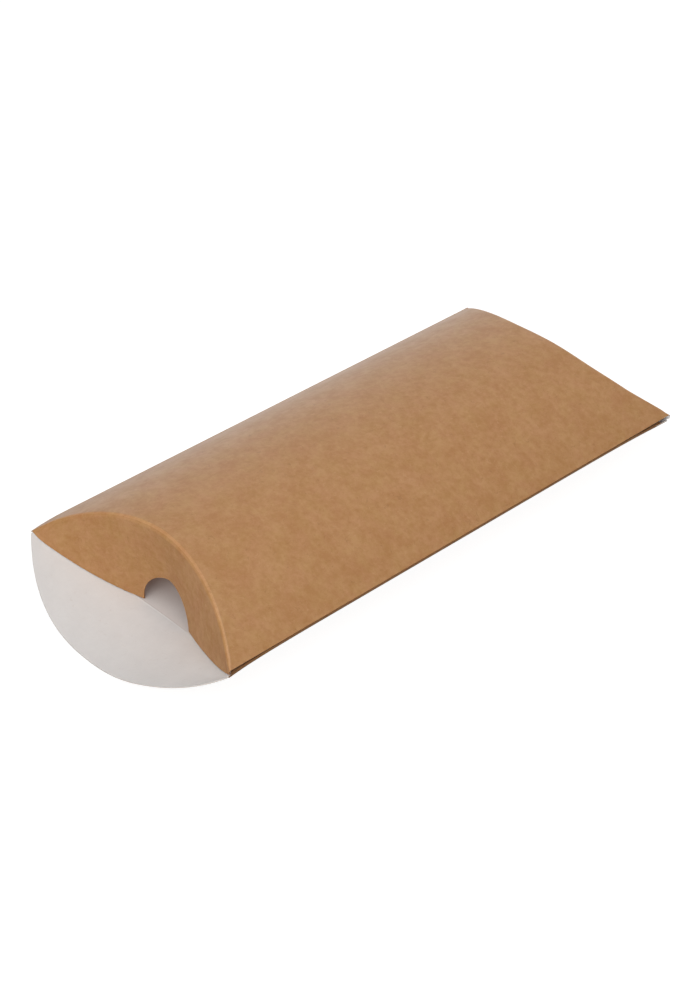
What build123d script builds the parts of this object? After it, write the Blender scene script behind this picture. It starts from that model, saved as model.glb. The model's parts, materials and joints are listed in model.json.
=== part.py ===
from build123d import *
import math
import os

# Pillow box of creased duplex board: two bowed panels, a glue flap and four end flaps.
# X runs across the box, Y along it and Z up. The front, whose notch is in view, is at -Y.
# The origin is on the surface that the box rests on, under the middle of its length.

# Box, popped open
box_length = 225.0        # between the corners, along a side fold
box_width = 110.4         # between the two side folds
upper_bow = 20.0          # rise of the upper panel above the side folds
lower_bow = 18.0          # drop of the lower panel below the side folds

# Duplex board
kraft_ply = 0.25          # brown kraft liner, on the outside
white_ply = 0.20          # white lining, bonded to its inner face

# Curved end creases and the four flaps
crease_inset = 17.0       # how far a crease dips in from the two corners
crease_gap = 0.15         # scored line between a panel and its flap
flap_reach = 18.5         # how far an open flap stands out beyond the corners
tip_relief = 1.2          # cut off each pointed tip, so that it clears the side fold
flap_clearance = 0.35     # between a folded flap's free edge and the lower panel
lining_setback = 0.30     # a folded flap's lining stops this far under the panel's kraft

# Thumb notch in each upper flap
notch_width = 26.0
notch_depth = 13.5

# Glue flap, inside the +X edge of the upper panel
glue_flap_width = 15.0
glue_flap_setback = 3.0   # from the corner, at the side fold
glue_flap_taper = 11.0    # further setback at its raw edge
glue_film = 0.08
glue_strip_width = 9.0
glue_strip_inset = 3.0    # from the side fold, and short of the raw edge at each end

# How far a cutting shape runs past what it cuts
overrun = 5.0

FRONT, REAR = -1, 1
UPPER, LOWER = 1, -1

board = kraft_ply + white_ply
half_width = box_width / 2
half_length = box_length / 2
box_height = upper_bow + lower_bow
kraft = (0, kraft_ply)
lining = (kraft_ply, board)
full_height = box_height + 2 * overrun
trimmed_width = box_width - 2 * tip_relief


def radius_of(rise):
    """Radius of the arc that spans the box's width with this rise."""
    return (half_width**2 + rise**2) / (2 * rise)


crease_radius = radius_of(crease_inset)
flap_radius = radius_of(flap_reach)


def half_chord(bow, depth):
    """Half the width, level with the side folds, of a surface this deep in a bowed panel."""
    radius = radius_of(bow)
    return math.sqrt((radius - depth) ** 2 - (radius - bow) ** 2)


def cross_section(y):
    """Plane across the box, with its own Y up and its origin level with the side folds."""
    return Plane(origin=(0, y, lower_bow), x_dir=(1, 0, 0), z_dir=(0, -1, 0))


def plan():
    """Plane below the box, to cut upwards from."""
    return Plane.XY.offset(-overrun)


def ply_section(bow, side, plies):
    """Cross-section of a bowed panel's ply, given the depths of its two faces."""
    outer, inner = plies
    wide, narrow = half_chord(bow, outer), half_chord(bow, inner)
    with BuildSketch(mode=Mode.PRIVATE) as section:
        with BuildLine():
            ThreePointArc((-wide, 0), (0, side * (bow - outer)), (wide, 0))
            Line((wide, 0), (narrow, 0))
            ThreePointArc((narrow, 0), (0, side * (bow - inner)), (-narrow, 0))
            Line((-narrow, 0), (-wide, 0))
        make_face()
    return section.sketch


def crease_centre(end):
    """Centre, in plan, of the arc that an end crease follows, outside the box."""
    return 0, end * (half_length - crease_inset + crease_radius)


def panel_ply(name, bow, side, plies, edge_depth):
    """One ply of a bowed panel, ending at both curved creases."""
    section = ply_section(bow, side, plies)
    with BuildPart() as panel:
        with BuildSketch(cross_section(half_length)):
            add(section)
        extrude(amount=box_length)
        with BuildSketch(plan()):
            with Locations(crease_centre(FRONT), crease_centre(REAR)):
                Circle(crease_radius + edge_depth)
        extrude(amount=full_height, mode=Mode.SUBTRACT)
    panel.part.label = name
    return panel


def open_flap_ply(name, end, plies):
    """One ply of a lower flap, lying open in line with the lower panel."""
    section = ply_section(lower_bow, LOWER, plies)
    flap_depth = flap_reach + crease_inset
    with BuildPart() as flap:
        with BuildSketch(cross_section(end * (half_length + flap_reach + overrun))):
            add(section)
        extrude(amount=end * (flap_depth + 2 * overrun))
        with BuildSketch(plan()):
            with Locations(crease_centre(end)):
                Circle(crease_radius - crease_gap)
            with Locations((0, end * (half_length + flap_reach - flap_radius))):
                Circle(flap_radius, mode=Mode.INTERSECT)
            with Locations((0, end * half_length)):
                Rectangle(trimmed_width, 2 * flap_depth, mode=Mode.INTERSECT)
        extrude(amount=full_height, mode=Mode.INTERSECT)
    flap.part.label = name
    return flap


def folded_flap_ply(name, end, plies, top_depth):
    """One ply of an upper flap, folded in to stand across the end on the lower panel."""
    outer, inner = plies
    foot_depth = board + flap_clearance
    foot = foot_depth - lower_bow
    top, bottom = half_chord(upper_bow, top_depth), half_chord(lower_bow, foot_depth)
    with BuildPart() as flap:
        with BuildSketch(plan()):
            with Locations(crease_centre(end)):
                Circle(crease_radius + inner)
                Circle(crease_radius + outer, mode=Mode.SUBTRACT)
            with Locations((0, end * half_length)):
                Rectangle(trimmed_width, 2 * (crease_inset + overrun), mode=Mode.INTERSECT)
        extrude(amount=full_height)
        with BuildSketch(cross_section(end * (half_length - crease_inset - overrun))):
            with BuildLine():
                ThreePointArc((-top, 0), (0, upper_bow - top_depth), (top, 0))
                Line((top, 0), (bottom, 0))
                ThreePointArc((bottom, 0), (0, foot), (-bottom, 0))
                Line((-bottom, 0), (-top, 0))
            make_face()
            with Locations((0, foot + notch_depth - notch_width / 2)):
                Circle(notch_width / 2, mode=Mode.SUBTRACT)
                Rectangle(
                    notch_width,
                    notch_depth + overrun,
                    align=(Align.CENTER, Align.MAX),
                    mode=Mode.SUBTRACT,
                )
        extrude(amount=-end * (crease_inset + 2 * overrun), mode=Mode.INTERSECT)
    flap.part.label = name
    return flap


def glue_flap_outline(raw_edge_x, fold_x, setback, taper):
    """Plan outline of the glue flap, or of the glue on it, narrowing to its raw edge."""
    with BuildSketch(mode=Mode.PRIVATE) as outline:
        with BuildLine():
            Polyline(
                (raw_edge_x, -half_length + setback + taper),
                (fold_x, -half_length + setback),
                (fold_x, half_length - setback),
                (raw_edge_x, half_length - setback - taper),
                close=True,
            )
        make_face()
    return outline.sketch


def under_upper_panel(name, plies, outline):
    """A layer that lies under the upper panel's lining, with this plan outline."""
    section = ply_section(upper_bow, UPPER, plies)
    with BuildPart() as layer:
        with BuildSketch(cross_section(half_length)):
            add(section)
        extrude(amount=box_length)
        with BuildSketch(plan()):
            add(outline)
        extrude(amount=full_height, mode=Mode.INTERSECT)
    layer.part.label = name
    return layer


pieces = []

# Upper panel: its kraft runs to the folded flaps' kraft, its lining to their lining
pieces.append(panel_ply("upper_panel", upper_bow, UPPER, kraft, kraft_ply + crease_gap))
pieces.append(
    panel_ply("upper_panel_lining", upper_bow, UPPER, lining, board + crease_gap)
)

# Lower panel, in one plane with its open flaps at the creases
pieces.append(panel_ply("lower_panel", lower_bow, LOWER, kraft, 0))
pieces.append(panel_ply("lower_panel_lining", lower_bow, LOWER, lining, 0))

# Glue flap: turned in from the lower panel's +X fold and stuck under the upper panel
flap_face = board + glue_film
raw_edge = half_width - glue_flap_width
flap_outline = glue_flap_outline(raw_edge, half_width, glue_flap_setback, glue_flap_taper)
strip_edge = half_width - glue_strip_inset
strip_outline = glue_flap_outline(
    strip_edge - glue_strip_width,
    strip_edge,
    glue_flap_setback + glue_strip_inset,
    glue_flap_taper,
)
pieces.append(under_upper_panel("glue_strip", (board, flap_face), strip_outline))
pieces.append(
    under_upper_panel("glue_flap", (flap_face, flap_face + kraft_ply), flap_outline)
)
pieces.append(
    under_upper_panel(
        "glue_flap_lining", (flap_face + kraft_ply, flap_face + board), flap_outline
    )
)

# End flaps: at each end the upper flap is folded in and the lower one lies open
for end_name, end in (("front", FRONT), ("rear", REAR)):
    upper, lower = end_name + "_upper_flap", end_name + "_lower_flap"
    pieces.append(folded_flap_ply(upper, end, kraft, 0))
    pieces.append(
        folded_flap_ply(upper + "_lining", end, lining, kraft_ply + lining_setback)
    )
    pieces.append(open_flap_ply(lower, end, kraft))
    pieces.append(open_flap_ply(lower + "_lining", end, lining))

os.makedirs("parts", exist_ok=True)
for piece in pieces:
    export_step(piece.part, "parts/" + piece.part.label + ".step")
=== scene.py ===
import json
import math

import bpy
import numpy as np
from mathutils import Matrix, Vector


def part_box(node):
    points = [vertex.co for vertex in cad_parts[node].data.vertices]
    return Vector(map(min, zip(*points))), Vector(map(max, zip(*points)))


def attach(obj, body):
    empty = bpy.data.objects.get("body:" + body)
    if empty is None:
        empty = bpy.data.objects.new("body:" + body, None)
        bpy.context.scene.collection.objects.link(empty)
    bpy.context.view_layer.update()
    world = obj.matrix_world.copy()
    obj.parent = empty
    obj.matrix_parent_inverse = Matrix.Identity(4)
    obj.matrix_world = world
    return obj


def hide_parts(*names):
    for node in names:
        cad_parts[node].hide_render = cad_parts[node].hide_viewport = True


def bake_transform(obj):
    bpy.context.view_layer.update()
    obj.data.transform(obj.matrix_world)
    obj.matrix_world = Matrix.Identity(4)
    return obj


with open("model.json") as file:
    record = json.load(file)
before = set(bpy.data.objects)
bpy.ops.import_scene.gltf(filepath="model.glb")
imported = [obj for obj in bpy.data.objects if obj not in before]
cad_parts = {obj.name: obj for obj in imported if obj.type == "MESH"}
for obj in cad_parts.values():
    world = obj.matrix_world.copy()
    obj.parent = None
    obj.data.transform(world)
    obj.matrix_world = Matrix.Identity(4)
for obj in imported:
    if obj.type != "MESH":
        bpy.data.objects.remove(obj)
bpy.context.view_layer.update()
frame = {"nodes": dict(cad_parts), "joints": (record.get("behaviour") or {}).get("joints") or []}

# The box's own sizes are in millimetres, and the camera and the studio are in metres
MM = 0.001
FRONT, REAR = -1, 1
NEARLY = 1e-6             # slack when places are compared

# The box's sizes, read from the frame
top_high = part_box("upper_panel")[1]
base_low, base_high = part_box("lower_panel")
flap_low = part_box("front_lower_flap")[0]
glue_low, glue_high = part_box("glue_flap")
joints = {joint["name"]: joint for joint in frame["joints"]}
half_width = base_high.x / MM
half_length = base_high.y / MM
lower_bow = (base_high.z - base_low.z) / MM
box_height = top_high.z / MM
upper_bow = box_height - lower_bow
crease_inset = half_length + joints["front_upper_crease"]["pos_m"][1] / MM
flap_reach = -flap_low.y / MM - half_length
glue_flap_width = half_width - glue_low.x / MM
glue_flap_half = glue_high.y / MM

# Duplex board, and its plies as a name's ending, the depths of both faces, and the slot
KRAFT_PLY = 0.25
BOARD = 0.45
PLIES = (
    ("", 0.0, KRAFT_PLY, "kraft_board"),
    ("_lining", KRAFT_PLY, BOARD, "white_lining"),
)

# Folds
CREASE_ROUND = 1.9        # radius of the board's outer face over a curved crease
CREASE_SHARE = 0.45       # most of a folded flap's height that the rounding takes
SIDE_ROUND = 0.5          # radius over a side fold
SIDE_REACH = 0.3          # how far the side folds' sharp corners would stand beyond the rounding
BEAD_HEIGHT = 0.08        # bead that an open crease raises on the lining
BEAD_WIDTH = 0.35
BEAD_SHARE = 0.4          # most of an open flap's length that the bead takes

# Outer edge of an open flap, in plan: fuller towards the corners than an arc
RIM_SHORTER = 0.4         # than the solid flap, in the middle
RIM_POWER = 2.5

# Free edge of a folded flap, in plan: two straight lines from near the corners, each given
# as where it starts and its slope, with a rounded middle and rounded starts
FOOT_LINES = ((51.6, 0.435), (56.3, 0.39))
FOOT_ROUND = 1.1
FOOT_START_ROUND = 0.5
FLAP_CLEARANCE = 0.35     # between the free edge and the lower panel
TIP_RELIEF = 0.7          # cut off each flap's pointed tips
LEAST_WALL = 0.5          # height of a folded flap at its tips

# Thumb notch
NOTCH_RADIUS = 12.6
NOTCH_DEPTH = 14.8
NOTCH_CENTRE = 0.55
NOTCH_SIDE = 0.05         # between the two lines of points on each side of the notch
NOTCH_MARGIN = 0.4        # least distance from those lines, and the raw edge, to the next ones

# The glued seam: the lower panel's +X fold shows beyond the upper panel's raw edge, and hangs
# lower towards the corners, by a power of the share of the way there
RAW_EDGE_SETBACK = 0.5
SEAM_DROP = 0.15
SEAM_FRONT = (1.75, 10)
SEAM_REAR = (1.8, 7)
HANG_START = 25.0         # how far across the box the lower board begins to follow it
HANG_END = 53.0
EAR = 7.0                 # length by which the rear end of the +X fold is open

# Glue flap
GLUE_FACE = 0.53          # depth of its kraft under the upper panel's face
GLUE_TAPER = 11.0         # how much shorter each of its ends is at its raw edge
GLUE_FRONT = 2.4          # how much nearer to the front corner than to the rear one it starts
GLUED_FROM = 3.0          # from the fold, where the glue begins

# The front corner at -X sits a little low, from this far across and this far before the corner
DIP = 1.2
DIP_START = 35.0
DIP_LENGTH = 15.0

# The rear crease bulges a little at its crown, and its upper part at its +X corner
REAR_CROWN = 0.85
REAR_CROWN_PLACE = 8.0
REAR_CROWN_REACH = 22.0
REAR_TIP = 1.95
REAR_TIP_START = 40.0
REAR_TIP_FULL = 52.0
REAR_TIP_POWER = 1.4
REAR_OUT = (0.95, 0.3)    # all of the upper part, at -X and at +X
REAR_OUT_TURN = (-5.0, 28.0)

# Mesh density
ACROSS = 84
NOTCH_STEPS = 40
PANEL_ROWS = 60
FLAP_ROWS = 22
CREASE_STEPS = 7
FOLD_STEPS = 4
GLUE_COLUMNS = 16
GLUE_SPACING = 1.5        # power by which the glue flap's lines crowd towards its fold
GLUE_SHADE_STRIPS = 3             # strips of the glue flap beside its fold that get painted shade
CREASE_HIGHLIGHT_STRIPS = 5           # strips of the upper panel at each crease that get a painted highlight
SHARP_ANGLE = math.radians(35)  # from which an edge isn't shaded smooth

# Worked out from these
tip_x = half_width - TIP_RELIEF
raw_edge = half_width - RAW_EDGE_SETBACK
fold_points = 2 * FOLD_STEPS + 1
wall_end = FLAP_ROWS + CREASE_STEPS

# Colours of kraft, as linear red, green and blue
KRAFT_DARK = (0.446, 0.218, 0.084)
KRAFT_LIGHT = (0.522, 0.284, 0.127)
KRAFT_PINK = (1.0, 0.965, 1.0)
KRAFT_YELLOW = (0.985, 1.0, 0.94)
# painted shade: darkened kraft on the +X fold and the glue flap beside it, for their shadow under
# the raw edge
KRAFT_PAINTED_SHADE = (0.47, 0.44, 0.43)
# painted highlight along the upper creases, on kraft that is also a little paler there where it is
# stretched
KRAFT_CREASE_HIGHLIGHT = (1.13, 1.13, 1.14)
KRAFT_HAIR = (0.3, 0.14, 0.055)
KRAFT_PALE_HAIR = (0.6, 0.36, 0.18)
KRAFT_FLECK = (0.2, 0.09, 0.04)

# Colours of the lining and of the glue
LINING_DARK = (0.735, 0.718, 0.708)
LINING_LIGHT = (0.785, 0.77, 0.76)
# painted light: a darker, warm tint on the upper panel's lining, for light that comes warm through
# the board into the tube
LINING_TINT_PAINTED_LIGHT_ABOVE = (0.86, 0.74, 0.66)
# painted light: a slightly darker, warm tint on the lower panel's lining inside the tube, for the
# same light
LINING_TINT_PAINTED_LIGHT_BELOW = (0.98, 0.93, 0.9)
LINING_HAIR = (0.62, 0.56, 0.52)
LINING_FLECK = (0.45, 0.38, 0.33)
GLUE_DARK = (0.62, 0.55, 0.38)
GLUE_LIGHT = (0.76, 0.7, 0.54)

# Colours of cut edges, each as its darkest and its lightest
KRAFT_CUT = ((0.4, 0.27, 0.17), (0.5, 0.36, 0.24))
PALE_CUT = ((0.6, 0.54, 0.48), (0.7, 0.64, 0.59))
# painted shade: the folded upper flaps' cut edges, of both plies, darkened as if in shadow round the
# notch and inside the box
CUT_PAINTED_SHADE = ((0.19, 0.09, 0.05), (0.27, 0.14, 0.08))
LINING_CUT = ((0.64, 0.6, 0.57), (0.76, 0.72, 0.69))

# Kraft's gloss, as least and most roughness and its specular level
KRAFT_SHEEN = (0.35, 0.42, 0.4)
KRAFT_MATT = (0.52, 0.6, 0.14)
LINING_ROUGHNESS = 0.7
CUT_ROUGHNESS = 0.85

# Dried glue
GLUE_ROUGHNESS = 0.35
GLUE_SUBSURFACE = 0.2     # share of the light that goes into it
GLUE_REACH = (0.6, 0.5, 0.3)  # how far red, green and blue light goes in it
GLUE_RIPPLES = 0.5        # to a millimetre

# Pulp: the mottle's share of its tone, and the rest is clouds
MOTTLE_SHARE = 0.38

# Fibres and flecks
NOISE_MIDDLE = 0.5
HAIR_CORE = 0.3           # share of a hair's thickness that has its full colour
HAIR_PATCHES = 1.7        # how much finer than the hairs the patches are that they lie in
HAIR_PATCH_SHIFT = 40.0
FLECK_STRETCH = 1.6       # how much longer a fleck is across the blank than along it
FLECK_CORE = 0.5          # share of a fleck's radius that has its full colour

# Camera, as the photograph was taken, with its lens and its film's width in millimetres
AZIMUTH = math.radians(47.12)
ELEVATION = math.radians(36.16)
DISTANCE = 0.85446
AIM_RIGHT = -0.00768
AIM_UP = -0.01083
LENS = 81.8
FILM_WIDTH = 36

# Lamps as name, direction, distance, size and power
LAMPS = (
    ("key", (0.15, -0.2, 0.62), 1.6, 1.6, 16.2),
    ("front_fill", (0.3, -0.82, 0.45), 1.6, 0.9, 7.2),
    ("back_fill", (0.0, 0.95, 0.3), 1.6, 1.1, 6.3),
)
NOT_REFLECTED = ("back_fill",)

# Daylight that comes through the thin board, warmed by it, as a weak lamp under the upper panel
GLOW_SIZE = (0.06, 0.17)
GLOW_HEIGHT = 0.031
GLOW_POWER = 0.0065
GLOW_COLOUR = (1.0, 0.7, 0.62)

# Surroundings: even light, and a backdrop that only reflections see, on one side
WHITE = (1.0, 1.0, 1.0, 1.0)
AMBIENT = 0.192
BACKDROP_SIDE = (-0.65, 0.76, 0.0)
BACKDROP_RANGE = (0.1, 0.95)
BACKDROP_LEVELS = (0.0, 1.04)

# Floor: its glow and shade for the camera, its bounce, and what reflections see of it
FLOOR_HALF = 12.0
FLOOR_GAP = 0.0003
FLOOR_GLOW = 0.94
FLOOR_SHADE = 0.2
FLOOR_BOUNCE = 0.8
FLOOR_MIRROR_RANGE = (-0.12, 0.08)
FLOOR_MIRROR_LEVELS = (0.15, 1.05)


def radius_of(sagitta):
    """Radius of the arc that spans the box's width with this sagitta."""
    return (half_width**2 + sagitta**2) / (2 * sagitta)


def rise(x, sagitta):
    """Height at x of an arc that spans the box's width with this sagitta."""
    radius = radius_of(sagitta)
    inside = max(radius**2 - x**2, 0.0)
    return math.sqrt(inside) - (radius - sagitta)


def unit(vector):
    """The vector of length one in the same direction."""
    return vector / np.linalg.norm(vector)


def smooth(share):
    """A share held from 0 to 1, eased at both ends."""
    share = min(max(share, 0.0), 1.0)
    return share**2 * (3 - 2 * share)


def foot_inset(x):
    """How far in from the corners a folded flap's free edge lies."""
    (left_start, left_slope), (right_start, right_slope) = FOOT_LINES
    left, right = left_slope * (left_start + x), right_slope * (right_start - x)
    lower = (left + right) / 2 - math.hypot((left - right) / 2, FOOT_ROUND)
    return (lower + math.hypot(lower, 2 * FOOT_START_ROUND)) / 2


def rim_reach(x):
    """How far beyond the line of the corners an open flap's outer edge lies."""
    return (flap_reach - RIM_SHORTER) * max(1 - abs(x / half_width) ** RIM_POWER, 0.0)


def crease_at(x, end):
    """Distance from the box's middle to an end crease."""
    place = half_length - rise(x, crease_inset)
    if end == REAR:
        off = (x - REAR_CROWN_PLACE) / REAR_CROWN_REACH
        place += REAR_CROWN * max(1 - off**2, 0.0) ** 2
    return place


def upper_shift(x, end):
    """How much further out an upper crease and its flap lie than the lower crease."""
    if end == FRONT:
        return 0.0
    start, stop = REAR_OUT_TURN
    left, right = REAR_OUT
    out = left + (right - left) * smooth((x - start) / (stop - start))
    tip = (x - REAR_TIP_START) / (REAR_TIP_FULL - REAR_TIP_START)
    return out + REAR_TIP * min(max(tip, 0.0), 1.0) ** REAR_TIP_POWER


def seam_drop(y):
    """How far the +X fold hangs under the upper panel's raw edge."""
    full, power = SEAM_FRONT if y < 0 else SEAM_REAR
    share = min(abs(y) / half_length, 1.0)
    return SEAM_DROP + (full - SEAM_DROP) * share**power


def hang(x):
    """Share of the seam's drop that the lower board takes across the box."""
    return smooth((x - HANG_START) / (HANG_END - HANG_START))


def corner_dip(x, y):
    """How low the front corner at -X sits."""
    across = max((-x - DIP_START) / (half_width - DIP_START), 0.0)
    along = min(max((-y - half_length + DIP_LENGTH) / DIP_LENGTH, 0.0), 1.0)
    return DIP * across**2 * along**2


def rounded(corner, toward_start, toward_end, radius, steps):
    """Points round a corner, from the side of the first direction to that of the second."""
    a, b = unit(toward_start), unit(toward_end)
    angle = math.acos(float(np.clip(a @ b, -1, 1)))
    reach = radius / math.tan(angle / 2)
    centre = corner + unit(a + b) * radius / math.sin(angle / 2)
    first = corner + a * reach - centre
    last = corner + b * reach - centre
    turn = math.pi - angle
    points = []
    for step in range(2 * steps + 1):
        share = step / (2 * steps)
        mixed = first * math.sin((1 - share) * turn) + last * math.sin(share * turn)
        points.append(centre + mixed / math.sin(turn))
    return points


def straight(start, end, count):
    """Points from start to end, without the first."""
    return [start + (end - start) * (i + 1) / count for i in range(count)]


def grid_normals(points, outward):
    """Unit normals of a grid of points, turned to the side that outward points to."""
    across = np.gradient(points, axis=0)
    along = np.gradient(points, axis=1)
    normals = np.cross(across, along)
    normals /= np.linalg.norm(normals, axis=2, keepdims=True)
    middle = tuple(n // 2 for n in normals.shape[:2])
    return normals * np.sign(normals[middle] @ np.array(outward, float))


def lengths(points, axis):
    """Distance along a grid's lines, from the middle line."""
    steps = np.linalg.norm(np.diff(points, axis=axis), axis=2)
    total = np.cumsum(steps, axis=axis)
    start = np.zeros_like(np.take(total, [0], axis=axis))
    total = np.concatenate([start, total], axis=axis)
    return total - np.take(total, [total.shape[axis] // 2], axis=axis)


def edge_directions(side):
    """Directions from a side fold inward along the upper and along the lower panel."""
    above, below = [math.asin(half_width / radius_of(bow)) for bow in (upper_bow, lower_bow)]
    along_top = np.array([-side * math.cos(above), 0.0, math.sin(above)])
    along_base = np.array([-side * math.cos(below), 0.0, -math.sin(below)])
    return along_top, along_base


def fold_corner(side):
    """Where the two panels' faces would meet at a side fold, were it sharp."""
    return np.array([side * (half_width + SIDE_REACH), 0.0, lower_bow])


def arc_places(bow):
    """Evenly spaced places across a bowed panel, between the flaps' tips."""
    radius = radius_of(bow)
    reach = math.asin(tip_x / radius)
    return [radius * math.sin(reach * (2 * i / ACROSS - 1)) for i in range(ACROSS + 1)]


def upper_section():
    """Cross-section points of the upper panel, from the folded edge at -X to the raw one."""
    notch = []
    for step in range(NOTCH_STEPS + 1):
        notch.append(NOTCH_CENTRE - NOTCH_RADIUS * math.cos(math.pi * step / NOTCH_STEPS))
    notch = [notch[0] - NOTCH_SIDE] + notch + [notch[-1] + NOTCH_SIDE]
    low, high = notch[0] - NOTCH_MARGIN, notch[-1] + NOTCH_MARGIN
    xs = sorted([x for x in arc_places(upper_bow) if not low < x < high] + notch)
    along_top, along_base = edge_directions(-1)
    fold = rounded(fold_corner(-1), along_base, along_top, SIDE_ROUND, FOLD_STEPS)
    section = [(p[0], p[2]) for p in fold[FOLD_STEPS:]]
    section += [(x, lower_bow + rise(x, upper_bow)) for x in xs]
    section = [(x, z) for x, z in section if x < raw_edge - NOTCH_MARGIN]
    section.append((raw_edge, lower_bow + rise(raw_edge, upper_bow)))
    return section


def upper_grid():
    """The upper panel and its two folded flaps as one grid of points on the kraft's face."""
    grid = []
    for x, z in upper_section():
        column = []
        for end in (FRONT, REAR):
            shift = end * upper_shift(x, end)
            y = end * crease_at(x, end) + shift
            corner = np.array([x, y, z - corner_dip(x, y)])
            foot_y = end * (half_length - foot_inset(x)) + shift
            foot_z = lower_bow - rise(x, lower_bow) + BOARD + FLAP_CLEARANCE
            foot_z -= corner_dip(x, foot_y) + hang(x) * seam_drop(foot_y)
            foot = np.array([x, foot_y, min(foot_z, corner[2] - LEAST_WALL)])
            radius = min(CREASE_ROUND, CREASE_SHARE * (corner[2] - foot[2]))
            inward = np.array([0.0, -end, 0.0])
            crease = rounded(corner, foot - corner, inward, radius, CREASE_STEPS)
            wall = [foot] + straight(foot, crease[0], FLAP_ROWS)
            column.append(wall + crease[1:])
        front, rear = column
        panel = straight(front[-1], rear[-1], PANEL_ROWS)
        for point in panel[:-1]:
            point[2] = z - corner_dip(x, point[1])
        grid.append(front + panel[:-1] + rear[::-1])
    return np.array(grid)


def lower_section():
    """Cross-section points of the lower panel, from the -X fold over the +X fold."""
    section = [(x, lower_bow - rise(x, lower_bow)) for x in arc_places(lower_bow)]
    along_top, along_base = edge_directions(-1)
    left = rounded(fold_corner(-1), along_top, along_base, SIDE_ROUND, FOLD_STEPS)[FOLD_STEPS:]
    along_top, along_base = edge_directions(1)
    right = rounded(fold_corner(1), along_base, along_top, SIDE_ROUND, FOLD_STEPS)
    return [(p[0], p[2]) for p in left] + section + [(p[0], p[2]) for p in right]


def lower_grid():
    """The lower panel and its two open flaps as one grid of points on the kraft's face."""
    grid = []
    section = lower_section()
    for i, (x, z) in enumerate(section):
        ear = EAR if len(section) - i <= fold_points else 0.0
        column = []
        for end in (FRONT, REAR):
            crease = end * crease_at(x, end)
            if end == REAR:
                crease -= ear
            edge = crease + end * (rise(x, crease_inset) + rim_reach(x))
            bead_half = min(2 * BEAD_WIDTH, BEAD_SHARE * abs(edge - crease))
            tip = np.array([x, edge, z])
            outer = np.array([x, crease + end * bead_half, z])
            inner = np.array([x, crease - end * bead_half, z])
            flap = [tip] + straight(tip, outer, FLAP_ROWS)
            bead = straight(outer, inner, 2 * CREASE_STEPS)
            for point in bead:
                off = (point[1] - crease) / BEAD_WIDTH
                point[2] += BEAD_HEIGHT * max(1 - off**2, 0.0) ** 2
            column.append(flap + bead)
        front, rear = column
        panel = straight(front[-1], rear[-1], PANEL_ROWS)
        column = front + panel[:-1] + rear[::-1]
        for point in column:
            point[2] -= corner_dip(x, point[1]) + hang(x) * seam_drop(point[1])
        grid.append(column)
    return np.array(grid)


def glue_flap_grid():
    """The glue flap, from the end of the +X fold to its raw edge, on the kraft's face."""
    radius = radius_of(upper_bow)
    fold_x, fold_z = lower_section()[-1]
    grid = []
    for i in range(GLUE_COLUMNS + 1):
        share = (i / GLUE_COLUMNS) ** GLUE_SPACING
        x = fold_x + (half_width - glue_flap_width - fold_x) * share
        face = math.sqrt((radius - GLUE_FACE) ** 2 - x**2) - (radius - upper_bow) + lower_bow
        loose = smooth(1 - (fold_x - x) / GLUED_FROM)
        z = face + (fold_z - face) * loose
        half = glue_flap_half - GLUE_TAPER * share
        front = -half - GLUE_FRONT
        column = []
        for j in range(PANEL_ROWS + 1):
            y = front + (half - front) * j / PANEL_ROWS
            column.append(np.array([x, y, z - loose * hang(fold_x) * seam_drop(y)]))
        grid.append(column)
    return np.array(grid)


def cut_notch(points, normals, blank):
    """Shortens a folded flap's lines that run into the thumb notch, foot end first."""
    floor = BOARD + FLAP_CLEARANCE
    for i, column in enumerate(points):
        offset = abs(column[0][0] - NOTCH_CENTRE)
        if offset > NOTCH_RADIUS + NEARLY:
            continue
        top = floor + NOTCH_DEPTH - NOTCH_RADIUS
        top += math.sqrt(max(NOTCH_RADIUS**2 - offset**2, 0.0))
        foot, head = column[0], column[FLAP_ROWS]
        start = (top - foot[2]) / (head[2] - foot[2])
        for array in (points, normals, blank):
            old = array[i, : FLAP_ROWS + 1].copy()
            for j in range(FLAP_ROWS + 1):
                place = (start + (1 - start) * j / FLAP_ROWS) * FLAP_ROWS
                low = min(int(place), FLAP_ROWS - 1)
                array[i, j] = old[low] + (old[low + 1] - old[low]) * (place - low)


def add_object(name, data):
    """A new object in the scene, for this mesh, camera or lamp."""
    thing = bpy.data.objects.new(name, data)
    bpy.context.scene.collection.objects.link(thing)
    return thing


def skin_faces(index, other):
    """The cells of two grids of vertices, turned away from each other, cell by cell."""
    faces = []
    for i in range(index.shape[0] - 1):
        for j in range(index.shape[1] - 1):
            faces.append((index[i, j], index[i + 1, j], index[i + 1, j + 1], index[i, j + 1]))
            faces.append((other[i, j], other[i, j + 1], other[i + 1, j + 1], other[i + 1, j]))
    return faces


def rim_faces(index, other):
    """The faces between the outer edges of two grids of vertices."""
    rows, columns = index.shape
    rim = [(i, 0) for i in range(rows)]
    rim += [(rows - 1, j) for j in range(1, columns)]
    rim += [(i, columns - 1) for i in range(rows - 2, -1, -1)]
    rim += [(0, j) for j in range(columns - 2, 0, -1)]
    faces = []
    for here, there in zip(rim, rim[1:] + rim[:1]):
        faces.append((index[there], index[here], other[here], other[there]))
    return faces


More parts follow.
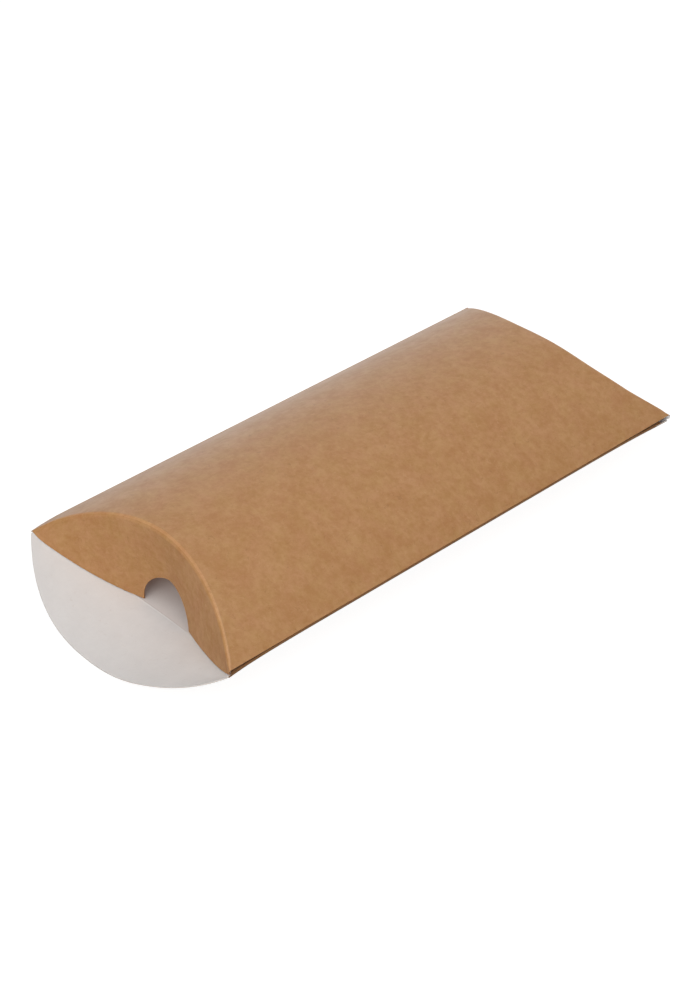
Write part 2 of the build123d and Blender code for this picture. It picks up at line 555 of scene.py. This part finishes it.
def shell(name, points, normals, outer, inner, blank, marked=None):
    """A closed sheet between two depths under a grid of points, with its flat layout as UV.

    Its skins take the first material, its rim the second, and marked cells the third.
    """
    front = points - normals * outer
    back = points - normals * inner
    vertices = np.concatenate([front.reshape(-1, 3), back.reshape(-1, 3)]) * MM
    count = points.shape[0] * points.shape[1]
    index = np.arange(count).reshape(points.shape[:2])
    skins = skin_faces(index, index + count)
    faces = skins + rim_faces(index, index + count)
    mesh = bpy.data.meshes.new(name)
    mesh.from_pydata(vertices.tolist(), [], [tuple(int(v) for v in f) for f in faces])
    layer = mesh.uv_layers.new(name="blank")
    flat = np.concatenate([blank.reshape(-1, 2), blank.reshape(-1, 2)]) * MM
    loops = np.zeros(len(mesh.loops), np.int32)
    mesh.loops.foreach_get("vertex_index", loops)
    layer.data.foreach_set("uv", flat[loops].astype(np.float32).ravel())
    mesh.polygons.foreach_set("use_smooth", [True] * len(faces))
    slots = np.ones(len(faces), int)
    slots[: len(skins)] = 0 if marked is None else np.repeat(2 * marked.ravel(), 2)
    mesh.polygons.foreach_set("material_index", slots.tolist())
    mesh.update()
    first = mesh.polygons[0]
    if Vector(first.normal).dot(Vector(normals[0, 0].tolist())) < 0:
        mesh.flip_normals()
    mesh.set_sharp_from_angle(angle=SHARP_ANGLE)
    return add_object(name, mesh)


def make_node(tree, kind, inputs=None, **settings):
    """Adds a node with these properties, its inputs filled with values or linked to sockets."""
    node = tree.nodes.new(kind)
    for name, value in settings.items():
        setattr(node, name, value)
    for name, value in (inputs or {}).items():
        if isinstance(value, bpy.types.NodeSocket):
            tree.links.new(value, node.inputs[name])
        else:
            node.inputs[name].default_value = value
    return node


def maths(tree, operation, *values):
    """The result of a Math node."""
    inputs = dict(enumerate(values))
    return make_node(tree, "ShaderNodeMath", inputs, operation=operation).outputs[0]


def blank_places(tree, per_mm, shift=0.0):
    """Places on the flat blank, with these many units to a millimetre along each axis."""
    uv = make_node(tree, "ShaderNodeUVMap", uv_map="blank")
    rate = [value / MM for value in per_mm]
    inputs = {0: uv.outputs[0], 1: rate, 2: (shift,) * 3}
    return make_node(tree, "ShaderNodeVectorMath", inputs, operation="MULTIPLY_ADD").outputs[0]


def noise(tree, per_mm, detail, roughness, shift=0.0, distortion=0.0):
    """Noise on the blank, with about this many blots to a millimetre."""
    inputs = {"Vector": blank_places(tree, (per_mm, per_mm, per_mm), shift), "Scale": 1.0,
              "Detail": detail, "Roughness": roughness, "Distortion": distortion}
    return make_node(tree, "ShaderNodeTexNoise", inputs).outputs["Fac"]


def spread(tree, value, low, high, to_low=0.0, to_high=1.0):
    """A value taken from one range to another, and held inside it."""
    inputs = {"Value": value, "From Min": low, "From Max": high, "To Min": to_low, "To Max": to_high}
    return make_node(tree, "ShaderNodeMapRange", inputs).outputs[0]


def blended(tree, factor, first, second, blend_type="MIX"):
    """A mix of two colours, each a colour or a socket."""
    mix = make_node(tree, "ShaderNodeMix", data_type="RGBA", blend_type=blend_type)
    for socket, value in ((mix.inputs[0], factor), (mix.inputs[6], first), (mix.inputs[7], second)):
        if isinstance(value, bpy.types.NodeSocket):
            tree.links.new(value, socket)
        elif isinstance(value, tuple):
            socket.default_value = (*value, 1.0)
        else:
            socket.default_value = value
    return mix.outputs[2]


def marked_with(tree, tone, marks, strength, colour):
    """A tone with marks of a colour laid over it."""
    return blended(tree, maths(tree, "MULTIPLY", marks, strength), tone, colour)


def tinted(tree, tone, tint):
    """A tone multiplied by a tint, which is a colour or a socket."""
    return blended(tree, 1.0, tone, tint, "MULTIPLY")


def fibres(tree, per_mm, thickness, shift):
    """Short crooked hairs: stretches of a noise's middle contour, where another noise is high."""
    wander = noise(tree, per_mm, detail=1.0, roughness=0.5, shift=shift, distortion=0.6)
    off = maths(tree, "ABSOLUTE", maths(tree, "SUBTRACT", wander, NOISE_MIDDLE))
    line = spread(tree, off, low=thickness, high=thickness * HAIR_CORE)
    patches = noise(tree, per_mm * HAIR_PATCHES, detail=0.0, roughness=0.5,
                    shift=shift + HAIR_PATCH_SHIFT)
    return maths(tree, "MULTIPLY", line, spread(tree, patches, low=0.52, high=0.58))


def flecks(tree, per_mm, size, share):
    """Small specks of bark, in this share of the cells."""
    places = blank_places(tree, (per_mm, per_mm * FLECK_STRETCH, per_mm))
    cells = make_node(tree, "ShaderNodeTexVoronoi", {"Vector": places, "Scale": 1.0})
    chosen = make_node(tree, "ShaderNodeSeparateColor", {"Color": cells.outputs["Color"]})
    spot = spread(tree, cells.outputs["Distance"], low=size, high=size * FLECK_CORE)
    return maths(tree, "MULTIPLY", spot, maths(tree, "LESS_THAN", chosen.outputs["Red"], share))


def new_material(name, roughness):
    """A material with its node tree and its shader."""
    material = bpy.data.materials.new(name)
    material.use_nodes = True
    shader = material.node_tree.nodes["Principled BSDF"]
    shader.inputs["Roughness"].default_value = roughness
    return material, material.node_tree, shader


def emboss(tree, shader, layers):
    """Bumps of several heights, each given with its depth in millimetres, one on the other."""
    normal = None
    for height, depth in layers:
        inputs = {"Height": height, "Distance": depth * MM}
        if normal is not None:
            inputs["Normal"] = normal
        normal = make_node(tree, "ShaderNodeBump", inputs).outputs[0]
    tree.links.new(normal, shader.inputs["Normal"])


def kraft_material(name, tint=None, sheen=KRAFT_SHEEN):
    """Brown kraft liner: cloudy pulp, fine fibres and a few flecks, with a faint sheen."""
    smoothest, roughest, specular = sheen
    material, tree, shader = new_material(name, roughest)
    shader.inputs["Specular IOR Level"].default_value = specular
    clouds = noise(tree, per_mm=0.085, detail=6.0, roughness=0.82)
    mottle = noise(tree, per_mm=0.36, detail=3.0, roughness=0.7, shift=29.0)
    cloud_part = maths(tree, "MULTIPLY", clouds, 1 - MOTTLE_SHARE)
    pulp = maths(tree, "MULTIPLY_ADD", mottle, MOTTLE_SHARE, cloud_part)
    tone = blended(tree, spread(tree, pulp, low=0.41, high=0.59), KRAFT_DARK, KRAFT_LIGHT)
    drift = noise(tree, per_mm=0.1, detail=4.0, roughness=0.75, shift=17.0)
    warmth = spread(tree, drift, low=0.38, high=0.62)
    tone = tinted(tree, tone, blended(tree, warmth, KRAFT_PINK, KRAFT_YELLOW))
    dark_hairs = fibres(tree, per_mm=0.24, thickness=0.011, shift=5.0)
    pale_hairs = fibres(tree, per_mm=0.3, thickness=0.012, shift=71.0)
    tone = marked_with(tree, tone, dark_hairs, strength=0.32, colour=KRAFT_HAIR)
    tone = marked_with(tree, tone, pale_hairs, strength=0.3, colour=KRAFT_PALE_HAIR)
    bark = flecks(tree, per_mm=0.22, size=0.05, share=0.3)
    tone = marked_with(tree, tone, bark, strength=0.55, colour=KRAFT_FLECK)
    if tint:
        tone = tinted(tree, tone, tint)
    tree.links.new(tone, shader.inputs["Base Color"])
    gloss = spread(tree, clouds, low=0.3, high=0.7, to_low=roughest, to_high=smoothest)
    tree.links.new(gloss, shader.inputs["Roughness"])
    grain = noise(tree, per_mm=1.6, detail=3.0, roughness=0.6, shift=3.0)
    emboss(tree, shader, [(clouds, 0.02), (grain, 0.004), (dark_hairs, 0.003)])
    return material


def lining_material(name, tint=None):
    """Uncoated white lining with a little grey in its pulp."""
    material, tree, shader = new_material(name, LINING_ROUGHNESS)
    clouds = noise(tree, per_mm=0.11, detail=6.0, roughness=0.8, shift=9.0)
    tone = blended(tree, spread(tree, clouds, low=0.3, high=0.7), LINING_DARK, LINING_LIGHT)
    hairs = fibres(tree, per_mm=0.28, thickness=0.01, shift=23.0)
    tone = marked_with(tree, tone, hairs, strength=0.22, colour=LINING_HAIR)
    specks = flecks(tree, per_mm=0.2, size=0.035, share=0.25)
    tone = marked_with(tree, tone, specks, strength=0.3, colour=LINING_FLECK)
    if tint:
        tone = tinted(tree, tone, tint)
    tree.links.new(tone, shader.inputs["Base Color"])
    grain = noise(tree, per_mm=1.3, detail=4.0, roughness=0.65, shift=6.0)
    emboss(tree, shader, [(clouds, 0.012), (grain, 0.006)])
    return material


def cut_material(name, colours):
    """The fuzzy cut edge of one ply."""
    material, tree, shader = new_material(name, CUT_ROUGHNESS)
    fuzz = noise(tree, per_mm=2.4, detail=4.0, roughness=0.7, shift=12.0)
    tone = blended(tree, spread(tree, fuzz, low=0.3, high=0.7), *colours)
    tree.links.new(tone, shader.inputs["Base Color"])
    emboss(tree, shader, [(fuzz, 0.02)])
    return material


def glue_material():
    """A translucent strip of dried glue, rippled where it was rolled on."""
    material, tree, shader = new_material("dried_glue", GLUE_ROUGHNESS)
    shader.inputs["Subsurface Weight"].default_value = GLUE_SUBSURFACE
    shader.inputs["Subsurface Radius"].default_value = [reach * MM for reach in GLUE_REACH]
    places = make_node(tree, "ShaderNodeTexCoord").outputs["Object"]
    inputs = {"Vector": places, "Scale": GLUE_RIPPLES / MM, "Detail": 4.0, "Roughness": 0.6}
    ripple = make_node(tree, "ShaderNodeTexNoise", inputs).outputs["Fac"]
    tone = blended(tree, spread(tree, ripple, low=0.35, high=0.65), GLUE_DARK, GLUE_LIGHT)
    tree.links.new(tone, shader.inputs["Base Color"])
    emboss(tree, shader, [(ripple, 0.05)])
    return material


def turn_to(thing, direction):
    """Turns a camera or a lamp to face in a direction."""
    thing.rotation_mode = "QUATERNION"
    thing.rotation_quaternion = direction.to_track_quat("-Z", "Y")


def make_camera():
    """The camera, aimed near the middle of the box, level with its side folds."""
    back = Vector((
        math.sin(AZIMUTH) * math.cos(ELEVATION),
        -math.cos(AZIMUTH) * math.cos(ELEVATION),
        math.sin(ELEVATION),
    ))
    right = Vector((math.cos(AZIMUTH), math.sin(AZIMUTH), 0))
    up = back.cross(right)
    data = bpy.data.cameras.new("camera")
    data.lens = LENS
    data.sensor_width = FILM_WIDTH
    camera = add_object("camera", data)
    camera.location = back * DISTANCE + right * AIM_RIGHT + up * AIM_UP
    camera.location.z += lower_bow * MM
    turn_to(camera, -back)
    bpy.context.scene.camera = camera


def make_lamps():
    """The studio's lamps, and the weak one inside the box."""
    for name, direction, distance, size, power in LAMPS:
        light = bpy.data.lights.new(name, "AREA")
        light.size = size
        light.energy = power
        lamp = add_object(name, light)
        toward = Vector(direction).normalized()
        lamp.location = toward * distance
        lamp.visible_glossy = name not in NOT_REFLECTED
        turn_to(lamp, -toward)

    glow = bpy.data.lights.new("through_board", "AREA")
    glow.shape = "RECTANGLE"
    glow.size, glow.size_y = GLOW_SIZE
    glow.energy = GLOW_POWER
    glow.color = GLOW_COLOUR
    lamp = add_object("through_board", glow)
    lamp.location.z = GLOW_HEIGHT
    lamp.visible_camera = lamp.visible_glossy = False


def backdrop_level(tree, coordinates, ends, levels):
    """A level that changes between two places towards the backdrop's side."""
    places = make_node(tree, "ShaderNodeTexCoord").outputs[coordinates]
    behind = make_node(tree, "ShaderNodeVectorMath", {0: places, 1: BACKDROP_SIDE},
                       operation="DOT_PRODUCT")
    return spread(tree, behind.outputs["Value"], *ends, *levels)


def by_ray(tree, seen, mirrored, lighting):
    """One shader out of those for the camera, for reflections and for all other light."""
    path = make_node(tree, "ShaderNodeLightPath")
    unseen = make_node(tree, "ShaderNodeMixShader", {0: path.outputs["Is Glossy Ray"],
                                                     1: lighting.outputs[0], 2: mirrored.outputs[0]})
    whole = make_node(tree, "ShaderNodeMixShader", {0: path.outputs["Is Camera Ray"],
                                                    1: unseen.outputs[0], 2: seen.outputs[0]})
    return whole.outputs[0]


def make_world():
    """Even light, white to the camera, with a backdrop for reflections."""
    world = bpy.data.worlds.new("studio")
    bpy.context.scene.world = world
    world.use_nodes = True
    tree = world.node_tree
    tree.nodes.clear()
    ambient = make_node(tree, "ShaderNodeBackground", {"Color": WHITE, "Strength": AMBIENT})
    white = make_node(tree, "ShaderNodeBackground", {"Color": WHITE})
    level = backdrop_level(tree, "Generated", BACKDROP_RANGE, BACKDROP_LEVELS)
    backdrop = make_node(tree, "ShaderNodeBackground", {"Color": WHITE, "Strength": level})
    whole = by_ray(tree, seen=white, mirrored=backdrop, lighting=ambient)
    make_node(tree, "ShaderNodeOutputWorld", {0: whole})


def make_floor():
    """White studio floor, seen as white but keeping the box's shadow."""
    mesh = bpy.data.meshes.new("floor")
    corners = [(-1, -1), (1, -1), (1, 1), (-1, 1)]
    mesh.from_pydata([(x * FLOOR_HALF, y * FLOOR_HALF, 0) for x, y in corners], [], [(0, 1, 2, 3)])
    floor = add_object("floor", mesh)
    floor.location.z = -FLOOR_GAP
    material = bpy.data.materials.new("floor_white")
    material.use_nodes = True
    tree = material.node_tree
    tree.nodes.clear()
    glow = make_node(tree, "ShaderNodeEmission", {"Strength": FLOOR_GLOW})
    shade = make_node(tree, "ShaderNodeBsdfDiffuse", {"Color": (FLOOR_SHADE,) * 3 + (1,)})
    seen = make_node(tree, "ShaderNodeAddShader", {0: glow.outputs[0], 1: shade.outputs[0]})
    bounce = make_node(tree, "ShaderNodeBsdfDiffuse", {"Color": (FLOOR_BOUNCE,) * 3 + (1,)})
    level = backdrop_level(tree, "Object", FLOOR_MIRROR_RANGE, FLOOR_MIRROR_LEVELS)
    mirrored = make_node(tree, "ShaderNodeEmission", {"Strength": level})
    whole = by_ray(tree, seen, mirrored, lighting=bounce)
    make_node(tree, "ShaderNodeOutputMaterial", {0: whole})
    mesh.materials.append(material)


def dress(piece, node, materials):
    """Gives a piece its materials, and hides the CAD node that it stands in for."""
    for material in materials:
        piece.data.materials.append(material)
    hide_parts(node)


def place_flap(piece):
    """Bakes the placement of a flap's ply into its mesh.
    """
    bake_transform(piece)


def panel_marks(level, shape):
    """Cells of a panel's kraft that get painted shade at the lower one's +X fold, or a painted
    highlight at the upper one's creases.
    """
    marked = np.zeros([n - 1 for n in shape[:2]], int)
    if level == "lower":
        marked[-fold_points:] = 1
    else:
        marked[:, :CREASE_HIGHLIGHT_STRIPS] = marked[:, -CREASE_HIGHLIGHT_STRIPS:] = 1
    return marked


def make_sheets(level, grid, outward, blank):
    """Cuts one grid into the panel and its two flaps, each as a kraft and a lining sheet."""
    normals = grid_normals(grid, outward)
    inside = [i for i, column in enumerate(grid)
              if -tip_x - NEARLY <= column[0][0] <= raw_edge + NEARLY]
    for suffix, outer, inner, slot in PLIES:
        points, turned, flat = [a[:, wall_end:-wall_end] for a in (grid, normals, blank)]
        marked = None if suffix else panel_marks(level, points.shape)
        piece = shell(f"{level}_panel_sheet{suffix}", points, turned, outer, inner, flat, marked)
        dress(piece, f"{level}_panel{suffix}", panel_looks[level, suffix])
        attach(piece, "tube")
        for end_name in ("front", "rear"):
            flap = [a[inside] for a in (grid, normals, blank)]
            if end_name == "rear":
                flap = [a[:, ::-1] for a in flap]
            flap = [a[:, : wall_end + 1].copy() for a in flap]
            if level == "upper":
                cut_notch(*flap)
            points, turned, flat = flap
            piece = shell(f"{end_name}_{level}_flap_sheet{suffix}", points, turned,
                          outer, inner, flat)
            dress(piece, f"{end_name}_{level}_flap{suffix}", flap_looks[level, suffix])
            place_flap(piece)


def make_glue_flap(blank_start):
    """The glue flap's two plies, carried on from the end of the +X fold."""
    grid = glue_flap_grid()
    normals = grid_normals(grid, (0, 0, 1))
    across = blank_start + lengths(grid, 0)[0, 0] - lengths(grid, 0)
    blank = np.stack([across, lengths(grid, 1)], axis=-1)
    # Painted shade on the glue flap's strips beside its fold
    glue_cells_painted_shade = np.zeros((GLUE_COLUMNS, PANEL_ROWS), int)
    glue_cells_painted_shade[:GLUE_SHADE_STRIPS] = 1
    for suffix, outer, inner, slot in PLIES:
        marked = None if suffix else glue_cells_painted_shade
        piece = shell(f"glue_flap_sheet{suffix}", grid, normals, outer, inner, blank, marked)
        dress(piece, f"glue_flap{suffix}", glue_flap_looks[suffix])
        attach(piece, "tube")


bpy.context.scene.view_settings.view_transform = "Standard"
make_camera()
make_world()
make_lamps()
make_floor()

kraft = kraft_material("kraft_board")
kraft_cut = cut_material("kraft_cut", KRAFT_CUT)
pale_cut = cut_material("kraft_cut_pale", PALE_CUT)
# A cut edge darkened with painted shade
cut_painted_shade = cut_material("kraft_cut_painted_shade", CUT_PAINTED_SHADE)
lining = lining_material("white_lining")
lining_cut = cut_material("lining_cut", LINING_CUT)
matt_kraft = kraft_material("kraft_matt", sheen=KRAFT_MATT)

# The fold beyond the raw edge carries painted shade, the upper creases a painted highlight, and
# inside the tube the lining carries painted warm light, for light that comes through the board
fold_painted_shade = kraft_material("kraft_fold_painted_shade", tint=KRAFT_PAINTED_SHADE)
crease_painted_highlight = kraft_material("kraft_crease_painted_highlight", tint=KRAFT_CREASE_HIGHLIGHT)
upper_lining_painted_light = lining_material("upper_lining_painted_light", tint=LINING_TINT_PAINTED_LIGHT_ABOVE)
lower_lining_painted_light = lining_material("lower_lining_painted_light", tint=LINING_TINT_PAINTED_LIGHT_BELOW)

# Each sheet's materials: its skins', its rim's and its marked cells'
panel_looks = {
    ("upper", ""): [kraft, kraft_cut, crease_painted_highlight],
    ("upper", "_lining"): [upper_lining_painted_light, lining_cut],
    ("lower", ""): [kraft, kraft_cut, fold_painted_shade],
    ("lower", "_lining"): [lower_lining_painted_light, lining_cut],
}
# The folded upper flaps' rims, lining too, take the cut edge with painted shade
flap_looks = {
    ("upper", ""): [matt_kraft, cut_painted_shade],
    ("upper", "_lining"): [lining, cut_painted_shade],
    ("lower", ""): [kraft, pale_cut],
    ("lower", "_lining"): [lining, lining_cut],
}
# The glue flap's strips beside its fold take the kraft with painted shade
glue_flap_looks = {"": [kraft, kraft_cut, fold_painted_shade], "_lining": [lining, lining_cut]}

# The blank's layout starts in the middle of the upper panel, goes on round the -X fold to the
# lower panel, and over the +X fold to the glue flap
upper = upper_grid()
lower = lower_grid()
upper_blank = np.stack([lengths(upper, 0), lengths(upper, 1)], axis=-1)
lower_blank = np.stack([-lengths(lower, 0), lengths(lower, 1)], axis=-1)
middle_row = upper.shape[1] // 2
lower_blank[..., 0] += upper_blank[0, middle_row, 0] - lower_blank[0, middle_row, 0]
make_sheets("upper", upper, (0, 0, 1), upper_blank)
make_sheets("lower", lower, (0, 0, -1), lower_blank)
make_glue_flap(lower_blank[-1, middle_row, 0])

strip = frame["nodes"]["glue_strip"].data
strip.materials.clear()
strip.materials.append(glue_material())
